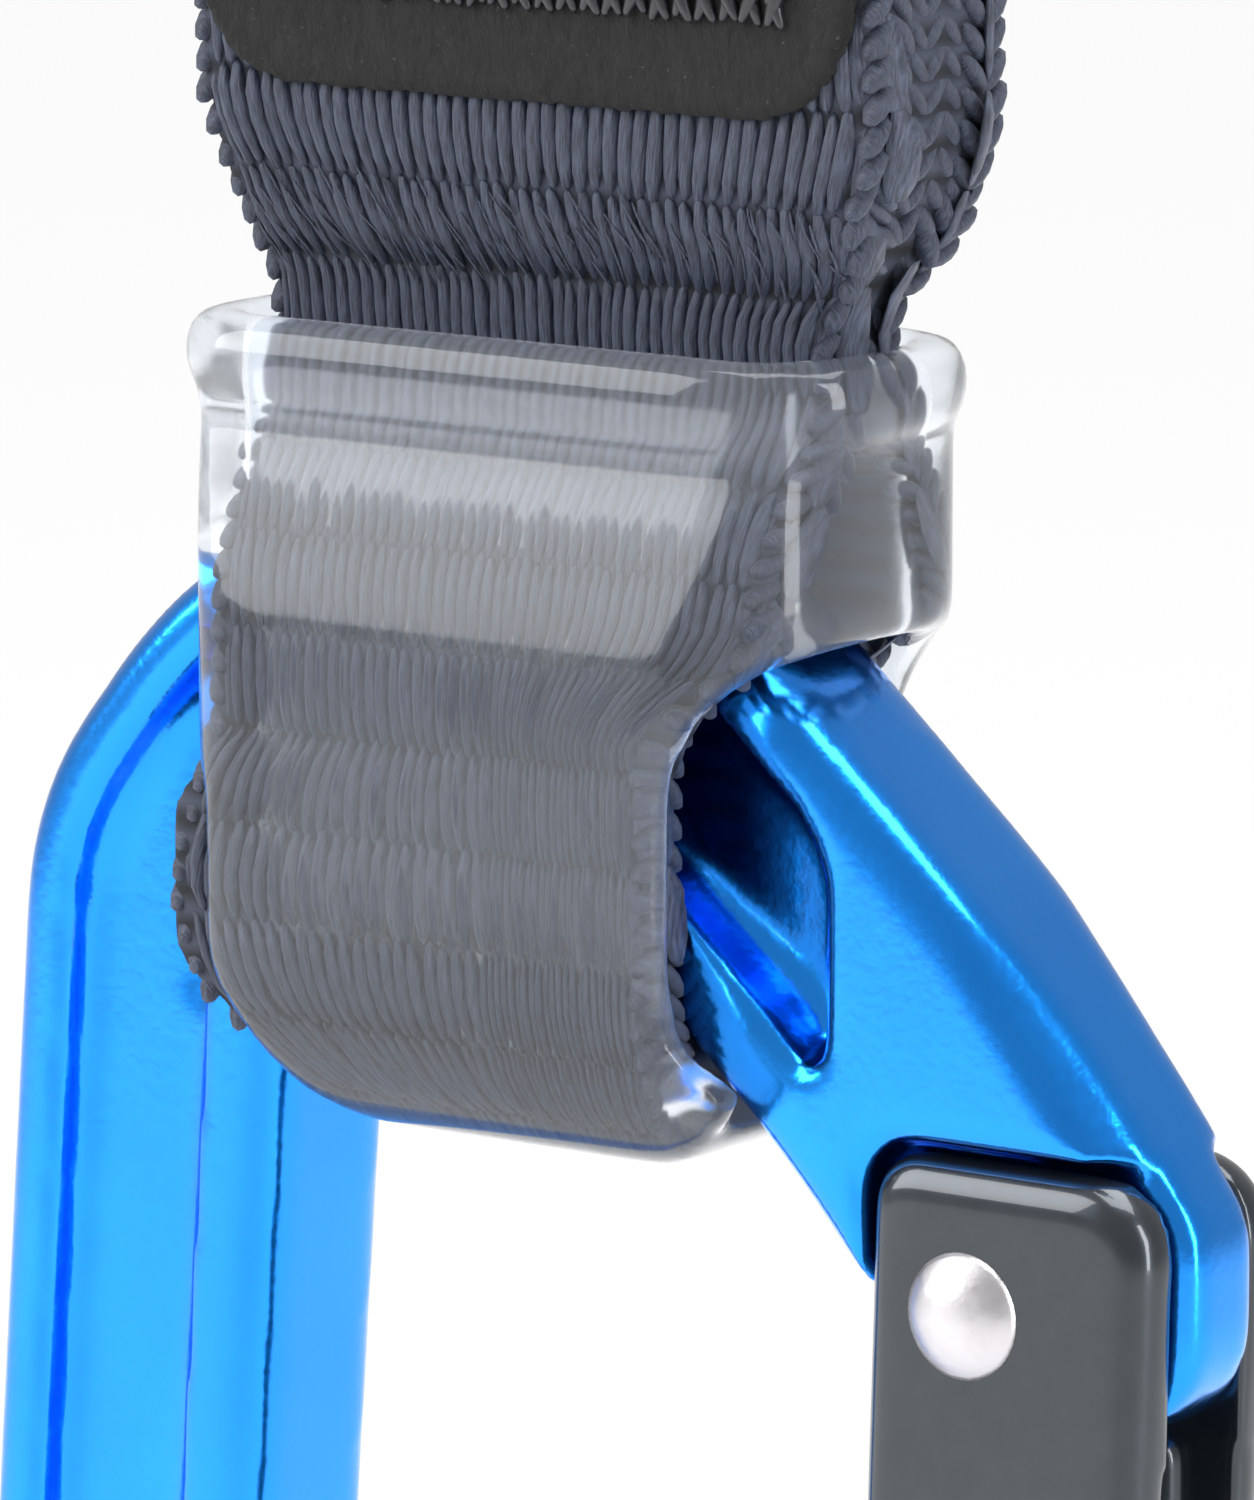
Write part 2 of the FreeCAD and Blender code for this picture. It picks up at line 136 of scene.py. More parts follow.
def makeGatePaint():
    material, shader, flow = newMaterial("gatePaint", {"Metallic": 0.75, "Coat Weight": 0.7,
                                                       "Coat Roughness": 0.04})
    fine = noise(flow, 900, detail=4)
    flow.plug(shader.inputs["Base Color"],
              fine.blend((0.018, 0.023, 0.029, 1), (0.032, 0.04, 0.05, 1)))
    flow.plug(shader.inputs["Roughness"], fine * 0.1 + 0.24)
    return material


def makeSteel():
    material, shader, flow = newMaterial("satinSteel", {"Metallic": 1.0})
    fine = noise(flow, 1500, detail=5)
    broad = noise(flow, 350, detail=3)
    flow.plug(shader.inputs["Base Color"], broad.blend((0.44, 0.42, 0.44, 1), (0.74, 0.72, 0.74, 1)))
    flow.plug(shader.inputs["Roughness"], fine * 0.25 + 0.25)
    flow.plug(shader.inputs["Normal"], bump(flow, fine, 0.25, 0.0001))
    return material


def makeWebbing():
    material, shader, flow = newMaterial("slateWebbing", {"Sheen Weight": 0.08, "Sheen Roughness": 0.4})
    spot = flow.make("UVMap", {"uv_map": "weave"})
    drawn = flow.make("Mapping", None, {0: spot, 3: (16.0, 1.2, 1.0)})  # fine across, long along a float
    fibres = flow.make("TexNoise", None, {"Vector": drawn, "Scale": 1.0, "Detail": 4.0, "Roughness": 0.6})
    tone = noise(flow, 320, detail=2)
    colour = fibres.band(0.3, 0.72).blend((0.012, 0.015, 0.027, 1), (0.06, 0.075, 0.125, 1))
    colour = flow.make("Mix", {"data_type": "RGBA", "blend_type": "MULTIPLY"},
                       {0: 0.55, 6: colour, 7: tone.blend((0.5, 0.5, 0.5, 1), (1.3, 1.3, 1.3, 1))}, 2)
    flow.plug(shader.inputs["Base Color"], colour)
    flow.plug(shader.inputs["Roughness"], 0.62 - fibres * 0.25)
    flow.plug(shader.inputs["Normal"], bump(flow, fibres, 0.55, 0.00012))
    return material


def makeShadedGround():  # the weave seen between the floats and inside the loops, its colour darkened as painted shade; the ribs are its own pattern
    material, shader, flow = newMaterial("webbingGroundPaintedShade", {"Roughness": 0.85})
    ribs = flow.make("TexWave", {"wave_type": "BANDS", "bands_direction": "Z"},
                     {"Vector": places(flow, 1), "Scale": 260.0, "Distortion": 2.0, "Detail": 2.0})
    # painted shade: both colours are darker than the webbing's own colours
    flow.plug(shader.inputs["Base Color"], ribs.blend((0.006, 0.007, 0.012, 1), (0.035, 0.042, 0.065, 1)))
    flow.plug(shader.inputs["Normal"], bump(flow, ribs, 0.6, 0.0003))
    return material


def makeFelt():
    material, shader, flow = newMaterial("blackFelt", {"Sheen Weight": 0.02, "Sheen Roughness": 0.6})
    hair = noise(flow, 2400, stretch=(1.0, 1.0, 0.45), detail=6, rough=0.75)
    # painted glint: small bright flecks painted into the felt's colour
    paintedGlint = noise(flow, 5200, detail=2)
    dark = hair.band(0.35, 0.8).blend((0.002, 0.002, 0.0024, 1), (0.016, 0.0155, 0.0155, 1))
    flow.plug(shader.inputs["Base Color"], paintedGlint.band(0.68, 0.74).blend(dark, (0.06, 0.056, 0.056, 1)))
    flow.plug(shader.inputs["Roughness"], hair * 0.1 + 0.85)
    flow.plug(shader.inputs["Normal"], bump(flow, hair, 0.9, 0.0006))
    return material


def makeThread():
    material, shader, flow = newMaterial("blackThread", {"Coat Weight": 0.3, "Coat Roughness": 0.2})
    spin = noise(flow, 1500, detail=3)
    flow.plug(shader.inputs["Base Color"], spin.blend((0.004, 0.004, 0.006, 1), (0.02, 0.021, 0.027, 1)))
    flow.plug(shader.inputs["Roughness"], spin * 0.25 + 0.28)
    flow.plug(shader.inputs["Normal"], bump(flow, spin, 0.5, 0.0002))
    return material


def makeRubber():
    material, shader, flow = newMaterial("clearRubber", {
        "Base Color": (0.9, 0.94, 1.0, 1), "Transmission Weight": 0.97, "IOR": 1.22,
        "Coat Weight": 0.6, "Coat Roughness": 0.06, "Coat IOR": 1.4})
    haze = noise(flow, 120, detail=3)
    flow.plug(shader.inputs["Roughness"], haze * 0.12 + 0.1)
    flow.plug(shader.inputs["Normal"], bump(flow, noise(flow, 260, detail=2), 0.12, 0.0004))
    return material


blue = makeAnodised()
gatePaint = makeGatePaint()
steel = makeSteel()
webbing = makeWebbing()
shadedGround = makeShadedGround()
felt = makeFelt()
threadLook = makeThread()
rubber = makeRubber()
print("materials made")


# --- Mesh helpers, all in millimetres until a piece is placed ---
def addLoop(bm, corners, at=0.0, plane="xz"):  # a closed wire of (a, b, corner radius)
    def spot(point):
        return Vector((point[0], at, point[1])) if plane == "xz" else Vector((at, point[0], point[1]))

    old = set(bm.edges)
    ends = []
    for i, (x, z, r) in enumerate(corners):
        corner = Vector((x, z))
        back = (Vector(corners[i - 1][:2]) - corner).normalized()
        ahead = (Vector(corners[(i + 1) % len(corners)][:2]) - corner).normalized()
        half = back.angle(ahead) / 2
        if r <= 0:
            vert = bm.verts.new(spot(corner))
            ends.append((vert, vert))
            continue
        turn = math.pi - 2 * half
        centre = corner + (back + ahead).normalized() * (r / math.sin(half))
        vert = bm.verts.new(spot(corner + back * (r / math.tan(half))))
        left = back.x * ahead.y - back.y * ahead.x < 0
        way = 1 if left == (plane == "yz") else -1
        made = bmesh.ops.spin(bm, geom=[vert], cent=spot(centre), angle=way * turn,
                              axis=(0, 1, 0) if plane == "xz" else (1, 0, 0),
                              steps=max(3, round(turn * (r + 4) / 1.6)))
        ends.append((vert, [g for g in made["geom_last"] if isinstance(g, bmesh.types.BMVert)][0]))
    for (_, last), (first, _) in zip(ends, ends[1:] + ends[:1]):
        bm.edges.new((last, first))
    return [e for e in bm.edges if e not in old]


def slab(corners, low, high, plane="xz", edge=0.0, steps=4):
    bm = bmesh.new()
    loop = addLoop(bm, corners, low, plane)
    face = bmesh.ops.contextual_create(bm, geom=loop)["faces"]
    made = bmesh.ops.extrude_face_region(bm, geom=face)["geom"]
    shift = (0, high - low, 0) if plane == "xz" else (high - low, 0, 0)
    bmesh.ops.translate(bm, vec=shift, verts=[g for g in made if isinstance(g, bmesh.types.BMVert)])
    bmesh.ops.recalc_face_normals(bm, faces=bm.faces)
    if edge:
        bevelLong(bm, (low, high), edge, steps, 1 if plane == "xz" else 0)
    return bm


def bevelLong(bm, levels, edge, steps, axis=1):  # rounds the rims that lie at these levels
    rims = [e for e in bm.edges
            if any(all(abs(v.co[axis] - level) < 1e-4 for v in e.verts) for level in levels)
            and e.calc_face_angle(0) > 0.6]
    bmesh.ops.bevel(bm, geom=rims, offset=edge, segments=steps, profile=0.5, affect="EDGES",
                    clamp_overlap=False, material=-1)


def ringSlab(outer, inner, low, high):
    bm = bmesh.new()
    loops = addLoop(bm, outer, low) + addLoop(bm, inner, low)
    faces = bmesh.ops.bridge_loops(bm, edges=loops)["faces"]
    made = bmesh.ops.extrude_face_region(bm, geom=faces)["geom"]
    lifted = [g for g in made if isinstance(g, bmesh.types.BMVert)]
    bmesh.ops.translate(bm, vec=(0, high - low, 0), verts=lifted)
    bmesh.ops.recalc_face_normals(bm, faces=bm.faces)
    return bm


def trim(bm, spot, away):  # everything on the far side of a plane goes, and the cut is closed
    geom = bm.verts[:] + bm.edges[:] + bm.faces[:]
    cut = bmesh.ops.bisect_plane(bm, geom=geom, plane_co=spot, plane_no=away, clear_outer=True)
    edges = [g for g in cut["geom_cut"] if isinstance(g, bmesh.types.BMEdge) and g.is_boundary]
    if edges:
        bmesh.ops.holes_fill(bm, edges=edges)
    bmesh.ops.recalc_face_normals(bm, faces=bm.faces)


def block(low, high):
    bm = bmesh.new()
    size = [h - l for l, h in zip(low, high)]
    middle = [(h + l) / 2 for l, h in zip(low, high)]
    bmesh.ops.create_cube(bm, size=1.0, matrix=Matrix.Translation(middle) @ Matrix.Diagonal((*size, 1)))
    return bm


def mirrored(bm):  # the same cutter on the other side, across Y
    other = bm.copy()
    bmesh.ops.scale(other, vec=(1, -1, 1), verts=other.verts)
    bmesh.ops.reverse_faces(other, faces=other.faces)
    return other


def sculpt(name, base, steps, grain, rounds):
    def holder(bm, label):
        mesh = bpy.data.meshes.new(label)
        bm.to_mesh(mesh)
        bm.free()
        thing = bpy.data.objects.new(label, mesh)
        bpy.context.scene.collection.objects.link(thing)
        return thing

    body = holder(base, name + "Base")
    tools = [(kind, holder(bm, name + "Tool")) for kind, bm in steps]
    for kind, tool in tools:
        cut = body.modifiers.new(kind, "BOOLEAN")
        cut.operation, cut.object, cut.solver = kind, tool, "EXACT"
    voxel = body.modifiers.new("grain", "REMESH")
    voxel.mode, voxel.voxel_size, voxel.adaptivity = "VOXEL", grain, 0.0
    bpy.context.view_layer.update()
    graph = bpy.context.evaluated_depsgraph_get()
    mesh = bpy.data.meshes.new_from_object(body.evaluated_get(graph), depsgraph=graph)
    for thing in [body] + [tool for _, tool in tools]:
        bpy.data.objects.remove(thing)
    bm = bmesh.new()
    bm.from_mesh(mesh)
    smoothOver(bm, rounds)
    print(name, "faces", len(bm.faces))
    return bm


def smoothOver(bm, rounds):
    for _ in range(rounds):
        bmesh.ops.smooth_vert(bm, verts=bm.verts, factor=0.5,
                              use_axis_x=True, use_axis_y=True, use_axis_z=True)


def place(bm, matrix, name, material, body, slotName, *nodes):
    bmesh.ops.transform(bm, matrix=matrix, verts=bm.verts)
    bmesh.ops.recalc_face_normals(bm, faces=bm.faces)
    mesh = bpy.data.meshes.new(name)
    bm.to_mesh(mesh)
    bm.free()
    for polygon in mesh.polygons:
        polygon.use_smooth = True
    mesh.materials.append(material)
    piece = bpy.data.objects.new(name, mesh)
    bpy.context.scene.collection.objects.link(piece)
    if body:
        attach(piece, body)
    if nodes:
        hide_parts(*nodes)
    return piece


def inset(corners, depth):  # the outline moved inwards, for corners that run clockwise
    sides = []
    for i, (x, z, _) in enumerate(corners):
        nextX, nextZ, _ = corners[(i + 1) % len(corners)]
        along = Vector((nextX - x, nextZ - z)).normalized()
        sides.append((Vector((x, z)) + Vector((along.y, -along.x)) * depth, along))
    moved = []
    for i, (_, _, r) in enumerate(corners):
        (p, d), (q, e) = sides[i - 1], sides[i]
        k = ((q.x - p.x) * e.y - (q.y - p.y) * e.x) / (d.x * e.y - d.y * e.x)
        spot = p + d * k
        moved.append((spot.x, spot.y, max(r - depth, 0.4)))
    return moved


# --- Carabiner bodies ---
forging = {"corners": [(-5.5, 17.1, 19.0), (19.5, -5.3, 60.0), (25.4, -13.0, 3.0), (29.8, -88.5, 20.0),
                       (-28.7, -95.5, 21.0), (-21.95, -3.4, 12.0)],
           "width": 11.7, "thick": 7.2, "outerEdge": 1.3,
           "outerRib": 2.5, "innerRib": 3.3, "channelDeep": 1.5, "pocketDeep": 2.3,
           "pocketEnd": 11.8, "pocketStart": -16.0, "channelFoot": -71.5, "channelCorner": 1.9,
           "roomLeft": 13.45, "roomTop": -11.0, "roomFoot": -67.0, "tangThick": 4.0,
           "grain": 0.34, "rounds": 6}
rivetAt = (17.8, -16.35)
gateEnd = -16.3 - 50.6


def channelCutter(depth):
    f = forging
    y = -f["thick"] / 2
    bm = ringSlab(inset(f["corners"], f["outerRib"]), inset(f["corners"], f["width"] - f["innerRib"]),
                  y - 1.0, y + depth)
    trim(bm, (f["pocketEnd"], 0, 0), (1, 0, 0))
    trim(bm, (0, 0, f["channelFoot"]), (0, 0, -1))
    ends = [e for e in bm.edges if abs(e.verts[0].co.y - e.verts[1].co.y) > 1
            and (min(v.co.x for v in e.verts) > f["pocketEnd"] - 0.01
                 or e.verts[0].co.z < f["channelFoot"] + 0.01)]
    bmesh.ops.bevel(bm, geom=ends, offset=f["channelCorner"], segments=6, profile=0.5, affect="EDGES",
                    clamp_overlap=False, material=-1)
    bevelLong(bm, (y + depth,), 0.9, 3)
    return bm


def makeBody():
    f = forging
    half = f["thick"] / 2
    inner = inset(f["corners"], f["width"])
    ring = ringSlab(f["corners"], inner, -half, half)
    outerSide = [e for e in ring.edges if e.calc_face_angle(0) > 1.0]
    bmesh.ops.bevel(ring, geom=outerSide, offset=f["outerEdge"], segments=4, profile=0.5, affect="EDGES",
                    clamp_overlap=False, material=-1)
    steps = []
    cutter = channelCutter(f["channelDeep"])
    steps += [("DIFFERENCE", mirrored(cutter)), ("DIFFERENCE", cutter)]
    room = slab([(f["roomLeft"], f["roomTop"], 1.8), (60, f["roomTop"], 0), (60, f["roomFoot"], 0),
                 (0, f["roomFoot"], 0), (0, -17.5, 0), (f["roomLeft"], -17.5, 0)], -6, 6)
    steps.append(("DIFFERENCE", room))
    for side in (-1, 1):  # the shoulder thins from the full bar to the tang
        head = Vector((13.5, side * half, 0.2))
        nearFoot = Vector((22.3, side * half, f["roomTop"]))
        farFoot = Vector((23.95, side * f["tangThick"] / 2, f["roomTop"]))
        out = (nearFoot - head).cross(farFoot - head).normalized()
        out *= 1 if out.y * side > 0 else -1
        wedge = block((-40, -40, 0), (40, 40, 20))
        tilt = out.to_track_quat("Z", "Y").to_matrix().to_4x4()
        bmesh.ops.transform(wedge, verts=wedge.verts, matrix=Matrix.Translation(head) @ tilt)
        steps.append(("DIFFERENCE", wedge))
    tang = slab([(12.0, -8.0, 0), (21.6, -8.2, 0), (25.35, -13.1, 3.0), (25.35, -20.05, 3.7),
                 (15.1, -20.9, 2.2), (13.9, -17.5, 0.8), (11.5, -12.5, 0)],
                -f["tangThick"] / 2, f["tangThick"] / 2, edge=0.7)
    steps.append(("UNION", tang))
    nose = slab([(21.0, -64.2, 0.4), (27.3, -64.2, 0.6), (27.6, -70.0, 0), (23.4, -70.0, 0),
                 (23.2, -66.2, 0.3), (21.0, -66.0, 0.4)], -1.7, 1.7, edge=0.3)
    steps.append(("UNION", nose))
    bm = sculpt("body", ring, steps, f["grain"], 0)
    floor = half - f["channelDeep"]
    for vert in bm.verts:  # the pocket on the arch goes deeper than the channel of the spine
        x, y, z = vert.co
        if f["pocketStart"] < x < f["pocketEnd"] and z > -10 and floor - 0.3 < abs(y) < floor + 0.25:
            share = min(1.0, (x - f["pocketStart"]) / 4)
            vert.co.y -= math.copysign(share * (f["pocketDeep"] - f["channelDeep"]), y)
    smoothOver(bm, f["rounds"])
    return bm


# --- Gates and rivets ---
gateShape = {"inner": -3.8, "outer": 7.25, "top": 4.9, "thick": 8.2, "edge": 1.15, "bend": 4.2,
             "slot": 4.3, "slotFloor": -4.9, "heelFloor": -11.5, "grain": 0.27, "rounds": 4}


def makeGate(bend):
    g = gateShape
    x, z = 17.7, -16.3
    end, tip, half = 53.7, 53.7 * 0.0597, 0.52
    soft = 12 if bend else 0.0
    wide = 24 if bend else 0.0
    points = [(x + g["inner"], z + g["top"], 1.7), (x + g["outer"], z + g["top"], 2.6),
              (x + g["outer"] + 0.3 - bend * 0.2, z - end * 0.16, soft),
              (x + g["outer"] + tip * half - bend - 0.2, z - end * half, wide),
              (x + g["outer"] + tip - 0.3, z - end, 0), (x + g["inner"] + tip + 1.9, z - end, 0),
              (x + g["inner"] + tip * half - bend + 1.2, z - end * half, wide),
              (x + g["inner"] + 0.4 - bend * 0.2, z - end * 0.16, soft)]
    bm = slab(points, -g["thick"] / 2, g["thick"] / 2, edge=g["edge"], steps=5)
    trim(bm, (0, 0, gateEnd), (0, 0, -1))
    s = g["slot"] / 2
    steps = [("DIFFERENCE", block((0, -s, z + g["slotFloor"]), (60, s, 10))),
             ("DIFFERENCE", block((x + 4.3, -s, z + g["heelFloor"]), (60, s, 10))),
             ("DIFFERENCE", block((20.7, -1.95, -66.3), (60, 1.95, -64.0))),
             ("DIFFERENCE", block((22.9, -1.95, -70), (60, 1.95, -64.0)))]
    return sculpt("gate", bm, steps, g["grain"], g["rounds"])


rivetShape = {"r": 2.05, "high": 0.85, "pin": 1.5}


def makeRivet():
    bm = bmesh.new()
    r, high = rivetShape["r"], rivetShape["high"]
    foot = gateShape["thick"] / 2 - 0.1
    profile = [(0, foot + high), (r * 0.3, foot + high * 0.96), (r * 0.6, foot + high * 0.8),
               (r * 0.83, foot + high * 0.55), (r * 0.96, foot + high * 0.28), (r * 1.03, foot + 0.12),
               (r * 1.02, foot), (rivetShape["pin"], foot), (rivetShape["pin"], 0)]
    verts = [bm.verts.new((p, -q, 0)) for p, q in profile]
    line = [bm.edges.new(pair) for pair in zip(verts, verts[1:])]
    bmesh.ops.spin(bm, geom=verts + line, cent=(0, 0, 0), axis=(0, 1, 0), angle=2 * math.pi, steps=40,
                   use_merge=True)
    half = bm.verts[:] + bm.edges[:] + bm.faces[:]
    bmesh.ops.mirror(bm, geom=half, axis="Y", merge_dist=0.001)
    bmesh.ops.remove_doubles(bm, verts=bm.verts, dist=0.001)
    bmesh.ops.translate(bm, vec=(rivetAt[0], 0, rivetAt[1]), verts=bm.verts)
    return bm


body = makeBody()
rivet = makeRivet()
for end, matrix, bend in (("rope", ropePlace, gateShape["bend"]), ("bolt", boltPlace, 0.0)):
    place(body.copy(), matrix, end + "CarabinerForging", blue, end + "_carabiner", "blue_anodised",
          end + "_carabiner_body")
    place(makeGate(bend), matrix, end + "GateForging", gatePaint, end + "_gate", "gate_paint", end + "_gate")
    place(rivet.copy(), matrix, end + "Rivet", steel, end + "_gate", "steel", end + "_gate_rivet")
    for part in ("_gate_plunger", "_gate_spring"):
        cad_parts[end + part].data.materials.clear()
        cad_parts[end + part].data.materials.append(steel)
body.free()
rivet.free()
print("carabiners, gates and rivets made")


# --- Keeper ---
boot = {"left": 13.0, "right": 12.1, "thick": 14.6, "mouth": 10.4, "wall": 1.2, "floor": 1.6,
        "top": 14.3, "foot": -13.2, "leftCorner": 3.8, "rightCorner": 5.4, "rimHigh": 2.8, "rimProud": 1.2,
        "window": 7.6, "grain": 0.33, "rounds": 14}


def bootPlan(grow, half, foot, top):
    left, right = boot["left"] + grow, boot["right"] + grow
    bm = slab([(-left, -half, boot["leftCorner"]), (-left, half, boot["leftCorner"]),
               (right, half, boot["rightCorner"]), (right, -half, boot["rightCorner"])], foot, top)
    bmesh.ops.transform(bm, matrix=Matrix(((1, 0, 0, 0), (0, 0, 1, 0), (0, 1, 0, 0), (0, 0, 0, 1))),
                        verts=bm.verts)
    bmesh.ops.recalc_face_normals(bm, faces=bm.faces)
    return bm


def bootForm(skin, foot, top):
    left, right = boot["left"] - skin, boot["right"] - skin
    y, mouth = boot["thick"] / 2 - skin, boot["mouth"] / 2 - skin
    front = slab([(-left, top, 0), (right, top, 0), (right, 2.0, 14.0), (right - 0.6, -5.5, 8.0),
                  (right * 0.68, foot, 6.0), (-left * 0.68, foot, 6.0), (-left + 0.6, -5.5, 8.0),
                  (-left, 2.0, 14.0)], -20, 20)
    side = [(y * 0.62, foot, 3.0), (y, foot + 5.5, 12.0), (y, 4.0, 18.0), (mouth, 11.8, 18.0),
            (mouth, top, 0)]
    side = slab(side + [(-a, b, r) for a, b, r in side[::-1]], -30, 30, "yz")
    return front, [("INTERSECT", side), ("INTERSECT", bootPlan(-skin, y, foot - 1, top + 1))]


def makeBoot():
    b = boot
    front, steps = bootForm(0, b["foot"], b["top"])
    rim = bootPlan(b["rimProud"], b["mouth"] / 2 + b["rimProud"], b["top"] - b["rimHigh"], b["top"])
    bevelLong(rim, (b["top"] - b["rimHigh"], b["top"]), 1.0, 4, 2)
    inner, innerSteps = bootForm(b["wall"], b["foot"] + b["floor"], b["top"] + 2)
    hollow = sculpt("bootHollow", inner, innerSteps, 0.5, 1)
    corners, ease = forging["corners"], 0.4
    bar = ringSlab(inset(corners, -ease), inset(corners, forging["width"] + ease), -4.0, 4.0)
    window = slab([(b["window"], 4.4, 5.5), (60, 9.4, 0), (60, -10.0, 0), (b["window"], -10.0, 2.5)], -20, 20)
    side = slab([(-60, -1.0, 0), (-11.6, -1.0, 1.5), (-11.6, -9.3, 1.5), (-60, -9.3, 0)], -20, 20)
    steps += [("UNION", rim), ("DIFFERENCE", hollow), ("DIFFERENCE", bar), ("DIFFERENCE", window),
              ("DIFFERENCE", side)]
    return sculpt("boot", front, steps, b["grain"], b["rounds"])


place(makeBoot(), ropePlace, "clearKeeper", rubber, "rope_carabiner", "clear_rubber", "keeper")
print("keeper made")


# --- Sling ---
strap = {"thick": 2.2, "wrap": 5.75, "waist": 2.25, "grip": 3.75, "fold": 12.5, "foot": -11.9,
         "left": 11.7, "right": 10.9, "windowEdge": 6.3, "handle": 13.7, "eye": 10.0, "eyeOpen": 9.5,
         "patchFoot": 22.0, "patchTop": 74.0, "top": 115.0, "bulge": 13.6,
         "gap": 0.15, "half": 13.8,
         "bandHigh": 3.3, "floatPitch": 0.62, "floatProud": 0.32, "floatHalf": 1.78}
strapSide = [(strap["wrap"], strap["foot"] - 0.3, 5.0), (strap["wrap"], 6.5, 5.0),
             (strap["waist"], strap["fold"], 4.0), (strap["waist"], 15.5, 3.0), (strap["grip"], 19.0, 4.0),
             (strap["grip"], 76.0, 6.0), (strap["waist"], 81.0, 5.0), (strap["waist"], 84.0, 4.0),
             (strap["eyeOpen"] + strap["thick"], 91.0, 8.0),
             (strap["eyeOpen"] + strap["thick"], strap["top"], strap["eyeOpen"] + strap["thick"] - 0.4)]
strapEdge = [(-60.0, 11.0, 11.0), (7.0, 11.2, 10.6), (14.6, 11.7, 10.9), (18.0, 12.4, 12.9),
             (22.0, 13.7, 13.9), (74.0, 13.7, 13.7), (86.0, 10.2, 10.2), (130.0, 10.0, 10.0)]


def halfWidths(z):  # how far the webbing reaches at this height: spine side, gate side
    for (z0, a0, b0), (z1, a1, b1) in zip(strapEdge, strapEdge[1:]):
        if z <= z1:
            k = (z - z0) / (z1 - z0)
            k = k * k * (3 - 2 * k) if z0 > 0 else k
            left, right = a0 + (a1 - a0) * k, b0 + (b1 - b0) * k
            break
    if z < 6.0:  # it is narrower where the bar leaves the keeper, and bulges at the spine
        k = min(1.0, (6.0 - z) / 5.0)
        right += (strap["windowEdge"] - right) * k * k * (3 - 2 * k)
        if z < 0:
            left += (strap["bulge"] - left) * max(0.0, 1 - abs(z + 5) / 5.0) ** 0.5
    if z < -8.5:
        k = (-8.5 - z) / 3.5
        left, right = left - 2.2 * k * k, right - 1.0 * k * k
    return left, right


def strapForm():
    s = strap
    outer = slab(strapSide + [(-a, b, r) for a, b, r in strapSide[::-1]], -14.4, 14.4, "yz")
    front = [(-11.0, s["foot"], 3.0), (-11.6, -9.5, 1.5), (-s["bulge"], -8.0, 2.0), (-s["bulge"], -2.0, 2.0),
             (-11.4, -0.5, 1.5), (-11.2, 7.0, 6.0), (-s["left"], 15.2, 6.0), (-s["handle"], 22.0, 7.0),
             (-s["handle"], 74.0, 10.0), (-s["eye"], 86.0, 10.0), (-s["eye"], 119.0, 0), (s["eye"], 119.0, 0),
             (s["eye"], 86.0, 10.0), (s["handle"], 74.0, 10.0), (s["handle"], 21.0, 5.0),
             (s["right"], 15.2, 5.0), (10.6, 6.5, 5.0), (s["windowEdge"], 0.5, 4.0),
             (s["windowEdge"], s["foot"], 3.0)]
    room = slab([(-3.8, -60, 0), (-3.8, 8.0, 1.5), (-0.03, 12.0, 0.0), (0.03, 12.0, 0.0), (3.8, 8.0, 1.5),
                 (3.8, -60, 0)], -40, 40, "yz")
    eye = slab([(-0.05, 87.0, 0), (-s["eyeOpen"], 94.0, 7.0), (-s["eyeOpen"], s["top"] - s["thick"], 7.5),
                (s["eyeOpen"], s["top"] - s["thick"], 7.5), (s["eyeOpen"], 94.0, 7.0), (0.05, 87.0, 0)],
               -40, 40, "yz")
    return outer, front, room, eye


def makeStrap():
    outer, front, room, eye = strapForm()
    corners, width = forging["corners"], forging["width"]
    kept = slab(inset(corners, width + strap["gap"]), -20, 20)
    under = sculpt("strapRoom", room, [("DIFFERENCE", kept)], 0.45, 0)
    return sculpt("strap", outer, [
        ("INTERSECT", slab(front, -20, 20)),
        ("DIFFERENCE", slab(inset(corners, width + strap["gap"] + strap["thick"]), -20, 20)),
        ("DIFFERENCE", under), ("DIFFERENCE", eye)], 0.5, 3)


def strapPath():  # the outer face seen from the side, walked once round: (distance, y, z)
    bm = bmesh.new()
    addLoop(bm, strapSide + [(-a, b, r) for a, b, r in strapSide[::-1]], 0.0, "yz")
    bm.verts.index_update()
    line = [(v.co.y, v.co.z) for v in bm.verts]
    bm.free()
    path, run = [], 0.0
    for i, (y, z) in enumerate(line + line[:1]):
        if i:
            run += math.hypot(y - path[-1][1], z - path[-1][2])
        if not path or run > path[-1][0] + 1e-4:
            path.append((run, y, z))
    return path


walk = strapPath()


def onStrap(s):  # the point and the outward direction at a distance along the path
    s = s % walk[-1][0]
    for (s0, y0, z0), (s1, y1, z1) in zip(walk, walk[1:]):
        if s <= s1:
            k = (s - s0) / (s1 - s0)
            return y0 + (y1 - y0) * k, z0 + (z1 - z0) * k, (z1 - z0) / (s1 - s0), -(y1 - y0) / (s1 - s0)


def covered(z):  # under a patch
    return strap["patchFoot"] + 2.5 < z < strap["patchTop"] - 2.5


def strandMesh(strands):  # slender rounded strands: (spot, turn, size)
    bm = bmesh.new()
    for spot, turn, size in strands:
        matrix = Matrix.Translation(spot) @ turn @ Matrix.Diagonal((*size, 1))
        bmesh.ops.create_uvsphere(bm, u_segments=8, v_segments=6, radius=1.0, matrix=matrix)
    return bm


def gather(whole, bm):  # a small mesh joins the big one
    mesh = bpy.data.meshes.new("part")
    bm.to_mesh(mesh)
    bm.free()
    whole.from_mesh(mesh)
    bpy.data.meshes.remove(mesh)


def gatherAll(strands, finish=None, share=24):
    whole = bmesh.new()
    for first in range(0, len(strands), share):
        bm = strandMesh(strands[first:first + share])
        if finish:
            finish(bm)
        gather(whole, bm)
    return whole


